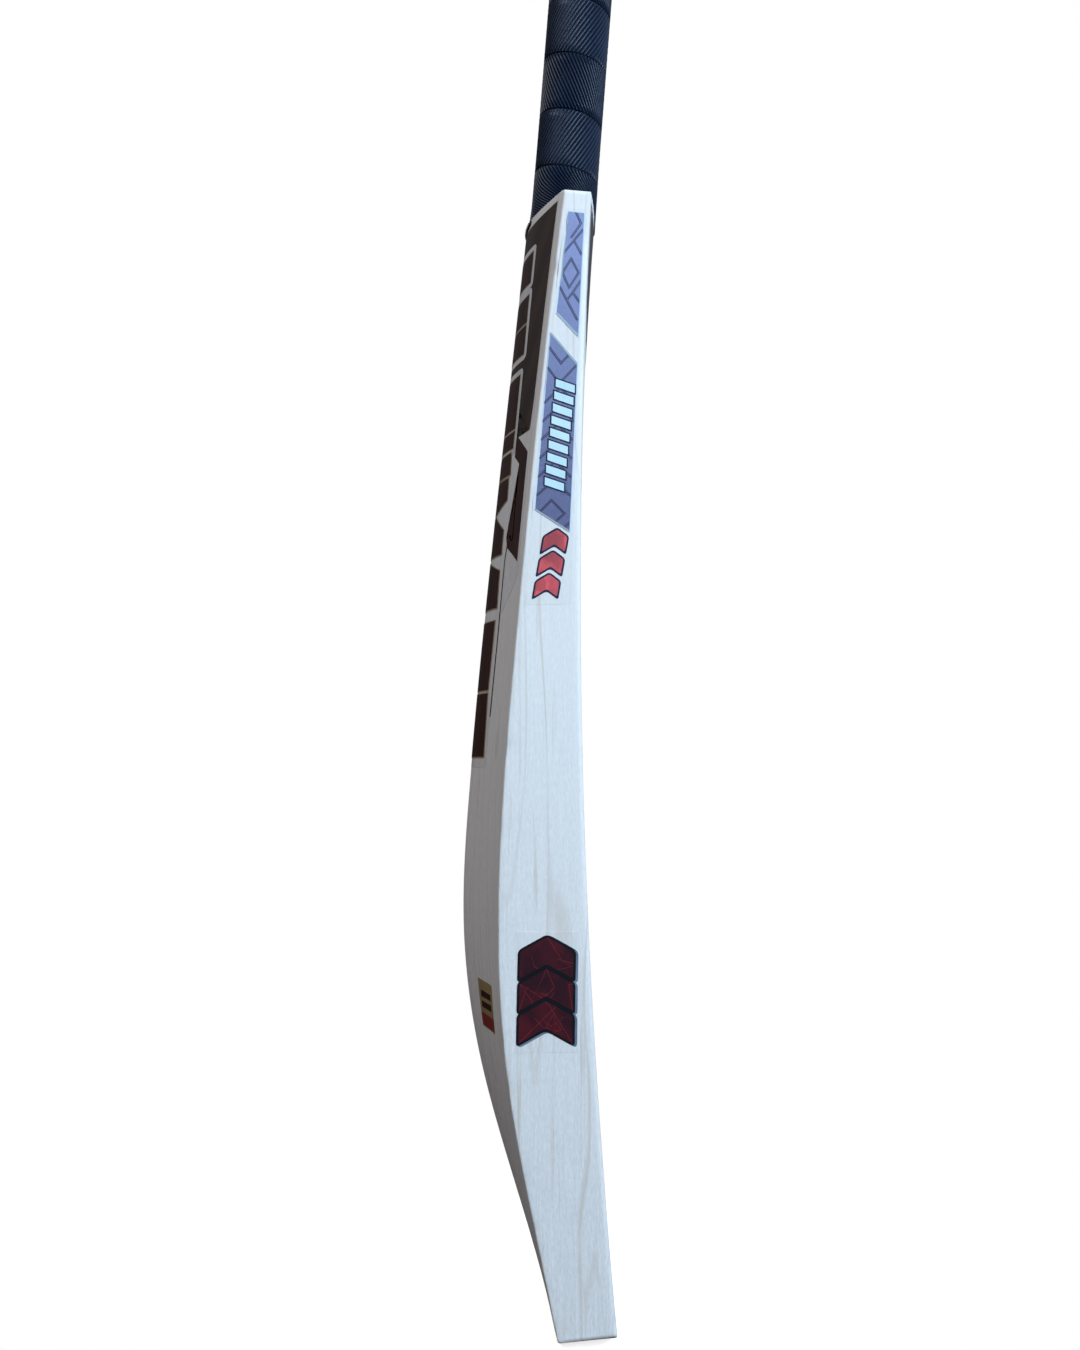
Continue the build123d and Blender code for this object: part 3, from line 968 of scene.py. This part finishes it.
def edge_label(side, word, looks):
    """One edge's two labels: panels, line work, bars and a badge above; a larger badge below."""
    place = on_edge(side)
    rng = random.Random(5 + side)

    def wrinkle(a, b):
        margin = b > 500 and a > 11.1 + 0.074 * (547.6 - b)
        rough = 0.16 if margin else 0.03
        return rough * abs(noise.noise(Vector((a * 0.9, b * 0.35, 3.0 * side))))

    def put(name, shapes, level, look, cell=0.0):
        printed(f"{name}_{word}", shapes, place, *layer(level), looks[look], cell)

    printed(
        f"edge_film_{word}", [EDGE_FILM], place, 0.0, FILM, looks["film"], 2.0, wrinkle,
        (f"edge_label_{word}",),
    )
    put("edge_border", [grown(UPPER_PANEL, 0.5), grown(LOWER_PANEL, 0.5)], 0, "pearl")
    put("edge_panels", [UPPER_PANEL, LOWER_PANEL], 1, "violet")

    # Lines of two or three points, and closed diamonds of four.
    upper_lines = [
        [(0.30, -2), (0.84, 6), (0.30, 13.5)],
        [(1.0, 9), (0.0, 21)],
        [(0.52, 15), (1.0, 22)],
        [(0.44, 24), (0.88, 31), (0.46, 38.5), (0.06, 31)],
        [(1.0, 35), (0.66, 41), (1.0, 46)],
        [(0.0, 38), (0.94, 55)],
        [(0.40, 45), (0.62, 41.5)],
    ]
    lower_lines = [
        [(0.0, 7), (0.46, 15), (1.0, 6)],
        [(0.0, 17), (0.46, 25), (1.0, 16)],
    ]
    for k in range(6):
        down = 27 + 9.2 * k
        lower_lines.append([(0.0, down + 8), (0.5, down), (1.0, down + 8)])
    lower_lines.append([(0.45, 83), (0.84, 89.5), (0.46, 96), (0.10, 89.5)])
    lower_lines.append([(0.70, 99), (1.0, 94)])
    dark, light = [], []
    for panel, lines in ((UPPER_PANEL, upper_lines), (LOWER_PANEL, lower_lines)):
        for points in lines:
            line = across_panel(panel, points)
            closed = len(points) == 4
            dark += [clipped(bar, panel) for bar in stroke(line, 1.05, closed)]
            light += [clipped(bar, panel) for bar in stroke(line, 0.28, closed)]
    put("edge_lines", dark, 2, "navy")
    put("edge_line_cores", light, 3, "violet")

    halo, bars = [], []
    for k in range(9):
        z = 459.6 - 6.1 * k
        middle = 8.7 + 0.088 * (462 - z)
        bar = [
            (middle + near, z + 0.34 * near + lift)
            for near, lift in ((-4.7, -1.9), (4.7, -1.9), (4.7, 1.9), (-4.7, 1.9))
        ]
        halo.append(grown(bar, 0.7))
        bars.append(bar)
    put("edge_bar_outlines", halo, 4, "navy")
    put("edge_bars", bars, 5, "ice")

    foil = stroke([UPPER_PANEL[2], UPPER_PANEL[3]], 1.0) + stroke([LOWER_PANEL[0], LOWER_PANEL[1]], 1.0)
    foil += stroke([LOWER_PANEL[2], LOWER_PANEL[3]], 0.8)
    foil += stroke([UPPER_PANEL[0], (11.4, 543.0), (11.2, 534.0), (12.2, 526.0), (12.6, 512.0)], 0.5)
    put("edge_foil", foil, 4, "foil", 1.5)

    badge = chevrons(17.2, 355.6, 11.2, 7.2, 3.8, 11.0, 3, -0.17)
    put("small_badge_outline", [rounded(grown(s, 0.9), 1.6) for s in badge], 1, "navy")
    put("small_badge", [rounded(s, 1.0) for s in badge], 2, "salmon")

    printed(
        f"badge_film_{word}", [BADGE_FILM], place, 0.0, FILM, looks["film"], 2.5, wrinkle,
        (f"edge_badge_{word}",),
    )
    badge = chevrons(23.4, 143.0, 25.4, 12.6, 7.0, 15.0, 3, -0.07)
    # Painted highlight: a slate-blue rim under the black outline, offset towards the face side and down.
    # It stands for light caught on the badge's raised bevel.
    shade = [[(a - 1.0, b - 0.4) for a, b in grown(s, 1.3)] for s in badge]
    put("large_badge_painted_highlight", [rounded(s, 2.6) for s in shade], 0, "slate")
    put("large_badge_outline", [rounded(grown(s, 1.2), 2.4) for s in badge], 1, "black")
    put("large_badge", [rounded(s, 1.9) for s in badge], 2, "maroon")
    cracks = []
    for shape in badge:
        low, bend, right, top_right, top, left = shape
        halves = ([low, bend, top, left], [bend, right, top_right, top])
        for _ in range(7):
            start = rng.choice(shape)
            end = (rng.uniform(low[0], right[0]), rng.uniform(low[1], top[1]))
            turn = (end[0] + rng.uniform(-7, 7), end[1] + rng.uniform(-7, 7))
            for half in halves:
                cracks += [clipped(bar, half) for bar in stroke([start, end, turn], 0.18)]
    put("large_badge_cracks", cracks, 3, "red")


def back_label(looks):
    """The back's label, with a striped panel, plates and an angled bar each side, and the tag."""
    def put(name, shapes, level, look):
        printed(name, shapes, on_back, *layer(level), looks[look], 2.0)

    printed(
        "back_film", [mirrored(BACK_LABEL)], on_back, 0.0, FILM, looks["film"], 2.5, None,
        ("back_label",),
    )
    panel = (
        (47.6, 556.0), (46.8, 506.0), (46.4, 480.0), (45.4, 455.0), (43.4, 440.8),
        (26.0, 455.0), (26.0, 470.0),
    )
    rim = [(a + 0.5, b) for a, b in panel[:5]] + list(panel[5:])
    put("back_panel_border", [mirrored(rim)], 0, "silver")
    put("back_panel", [mirrored(panel)], 1, "striped")
    plates = [
        ((23.6, 540.0), (23.6, 523.4)),
        ((23.8, 516.8), (24.0, 502.2)),
        ((24.0, 500.8), (24.4, 485.4)),
        ((22.6, 474.8), (22.6, 446.8)),
        ((22.6, 445.4), (22.4, 436.6)),
        ((20.6, 434.6), (22.0, 423.0)),
        ((20.4, 421.4), (20.8, 410.0), (7.5, 405.0)),
        ((6.0, 403.4), (19.8, 394.4), (20.2, 382.0)),
        ((3.0, 379.2), (19.6, 373.4), (20.4, 354.4)),
        ((19.6, 347.6), (18.6, 312.4)),
        ((18.6, 310.6), (19.8, 278.4)),
    ]
    outlines = [mirrored(plate) for plate in plates]
    put("back_plate_border", [rounded(grown(s, 3.3), 3.5) for s in outlines[:5]], 2, "silver")
    put("back_plate_rims", [grown(s, 0.6) for s in outlines], 3, "gold")
    put("back_plates", outlines, 4, "brown")
    bolt = [
        (25.6, 442.4), (43.4, 429.6), (42.2, 374.6), (26.2, 384.2),
        (24.2, 390.0), (32.4, 386.4), (32.6, 426.0), (25.8, 431.0),
    ]
    put("back_bolts", both_sides([bolt]), 1, "brown")
    line = stroke([(26.2, 385.0), (24.8, 378.0), (24.4, 338.0), (23.2, 298.5)], 0.9)
    line = [[(min(a, 24.9 if b < 352 else 60), b) for a, b in bar] for bar in line]
    put("back_lines", both_sides(line), 1, "black")

    printed("tag_film", [BACK_TAG], on_back, 0.0, FILM, looks["gold"], 2.5, None, ("back_tag",))
    put("tag_foot", [[(-20.0, 145.2), (-34.2, 143.8), (-34.5, 150.0), (-19.8, 151.5)]], 0, "red")
    bars = [[(-32.5, z), (-21.5, z + 0.8), (-21.4, z + 4.0), (-32.6, z + 3.2)] for z in (153.2, 158.4)]
    put("tag_bars", bars, 0, "brown")


def face_label(looks):
    """The face's label: a black shield with a silver line and three plain chevrons."""
    outline = mirrored(FACE_LABEL)
    printed("face_film", [outline], on_face, 0.0, FILM, looks["black"], 3.0, None, ("face_label",))

    def put(name, shapes, level, look):
        printed(name, shapes, on_face, *layer(level), looks[look], 2.5)

    put("face_line", [grown(outline, -1.6)], 0, "silver")
    put("face_field", [grown(outline, -2.3)], 1, "black")
    stack = chevrons(0.0, 496.0, 34.0, 6.0, -9.0, 13.0, 3, 0.0)
    put("face_chevrons", [rounded(s, 1.0) for s in stack], 2, "gold")


# ---- Build ----
blade = blade_mesh(willow("willow"))
cut_splice(blade)
grip_mesh(rubber("grip_rubber", (0.006, 0.014, 0.034), (0.012, 0.024, 0.050), 0.32))

looks = {
    "film": willow("label_film_over_willow", film=True),
    "pearl": ink("print_pearl", (0.62, 0.80, 0.86), (0.50, 0.62, 0.80), 0.2),
    "violet": purple_ink(),
    "foil": ink("print_foil", (0.78, 0.92, 0.96), (0.55, 0.74, 0.86), 0.18, metal=0.6, speck=0.6),
    "navy": ink("print_navy", (0.012, 0.017, 0.050)),
    "ice": ink("print_ice_blue", (0.54, 0.78, 0.84), (0.64, 0.84, 0.88), 0.25, speck=0.2),
    "salmon": ink("print_salmon", (0.80, 0.115, 0.130), (0.34, 0.055, 0.065), speck=0.25, facets=0.6),
    # The slate ink is the large badge's painted highlight rim, not a colour of the print.
    "slate": ink("print_slate_painted_highlight", (0.20, 0.25, 0.32), (0.10, 0.13, 0.19)),
    "black": ink("print_black", (0.010, 0.010, 0.014), shine=0.2),
    "maroon": ink("print_maroon", (0.075, 0.008, 0.014), (0.022, 0.006, 0.012)),
    "red": ink("print_red", (0.28, 0.025, 0.035)),
    "silver": ink("print_silver", (0.70, 0.70, 0.70), (0.55, 0.56, 0.58), 0.3),
    "gold": ink("print_gold", (0.36, 0.27, 0.13), (0.26, 0.19, 0.09), 0.3),
    "brown": ink("print_brown", (0.048, 0.018, 0.011), (0.028, 0.011, 0.007), 0.5, shine=0.12),
    "striped": striped_ink(),
}
for side, word in ((-1, "left"), (1, "right")):
    edge_label(side, word, looks)
back_label(looks)
face_label(looks)

finishes = {
    "handle_slab": cane(),
    "handle_insert": rubber("insert_rubber", (0.02, 0.02, 0.022), (0.04, 0.04, 0.045), 0.6),
    "handle_binding": twine(),
}
for name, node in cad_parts.items():
    for start, material in finishes.items():
        if name.startswith(start):
            node.data.materials.clear()
            node.data.materials.append(material)

# ---- Stage: a pale floor that fades into white, soft cool light from the face side, and the camera ----
floor_mesh = bpy.data.meshes.new("floor")
floor_bm = bmesh.new()
bmesh.ops.create_circle(floor_bm, cap_ends=True, segments=96, radius=3.0)
floor_bm.to_mesh(floor_mesh)
floor_bm.free()
floor_piece = new_object("floor", floor_mesh)
floor_piece.visible_diffuse = False
floor_piece.visible_glossy = False
floor_look = Look("pale_floor", Emission_Color=(1.0, 0.96, 0.92, 1.0), Emission_Strength=0.7)
clouds = floor_look.noise((0.01, 0.01, 0.01))
floor_look.finish(floor_look.mix(clouds, (0.86, 0.87, 0.88), (0.90, 0.90, 0.90)), 0.9)
away = floor_look.add("ShaderNodeVectorMath", {0: floor_look.place}, operation="LENGTH").outputs["Value"]
fade = floor_look.span(away, 40.0, 190.0, 1.0, 0.0, kind="SMOOTHSTEP")
floor_look.feed(floor_look.shader.inputs["Alpha"], fade)
floor_mesh.materials.append(floor_look.material)

world = bpy.data.worlds.new("studio")
bpy.context.scene.world = world
world.use_nodes = True
sky = Nodes(world.node_tree)
heading = sky.add("ShaderNodeTexCoord").outputs["Generated"]
rise = sky.span(sky.add("ShaderNodeSeparateXYZ", {0: heading}).outputs["Z"], -0.1, 0.6)
background = world.node_tree.nodes["Background"]
sky.feed(background.inputs["Color"], sky.mix(rise, (0.130, 0.088, 0.062), (0.80, 0.90, 1.10)))
sky.feed(background.inputs["Strength"], 0.34)
white = sky.add("ShaderNodeBackground", {"Color": (1.0, 1.0, 1.0, 1.0)}).outputs[0]
seen = sky.add("ShaderNodeLightPath").outputs["Is Camera Ray"]
inputs = {0: seen, 1: background.outputs[0], 2: white}
shown = sky.add("ShaderNodeMixShader", inputs).outputs[0]
sky.feed(world.node_tree.nodes["World Output"].inputs["Surface"], shown)


def area_light(name, place, aim, size, power, colour):
    lamp = bpy.data.lights.new(name, "AREA")
    lamp.shape = "RECTANGLE"
    lamp.size, lamp.size_y = size
    lamp.energy = power
    lamp.color = colour
    thing = new_object(name, lamp)
    thing.location = place
    thing.rotation_euler = (Vector(aim) - Vector(place)).to_track_quat("-Z", "Y").to_euler()


area_light("key", (-1.4, -1.0, 0.98), (0, 0, 0.42), (0.9, 0.9), 45, (0.66, 0.83, 1.0))
area_light("face_fill", (0.5, -1.8, 0.9), (0, 0, 0.4), (2.0, 2.0), 6, (0.80, 0.90, 1.0))
area_light("back_glow", (-0.4, 1.1, 1.9), (0, 0, 0.5), (1.0, 1.0), 13.0, (1.0, 0.95, 0.90))

camera_data = bpy.data.cameras.new("camera")
camera = new_object("camera", camera_data)
bpy.context.scene.camera = camera
CAMERA_PLACE = Vector((-665.6, 17.07, 275.3)) * MM
YAW, PITCH = -0.017, 0.069
forward = Vector((cos(PITCH) * cos(YAW), cos(PITCH) * sin(YAW), sin(PITCH)))
camera.location = CAMERA_PLACE
camera.rotation_euler = forward.to_track_quat("-Z", "Y").to_euler()
camera_data.sensor_width = 36.0
camera_data.lens = 33.88
camera_data.clip_start = 0.01
bpy.context.scene.view_settings.view_transform = "Standard"
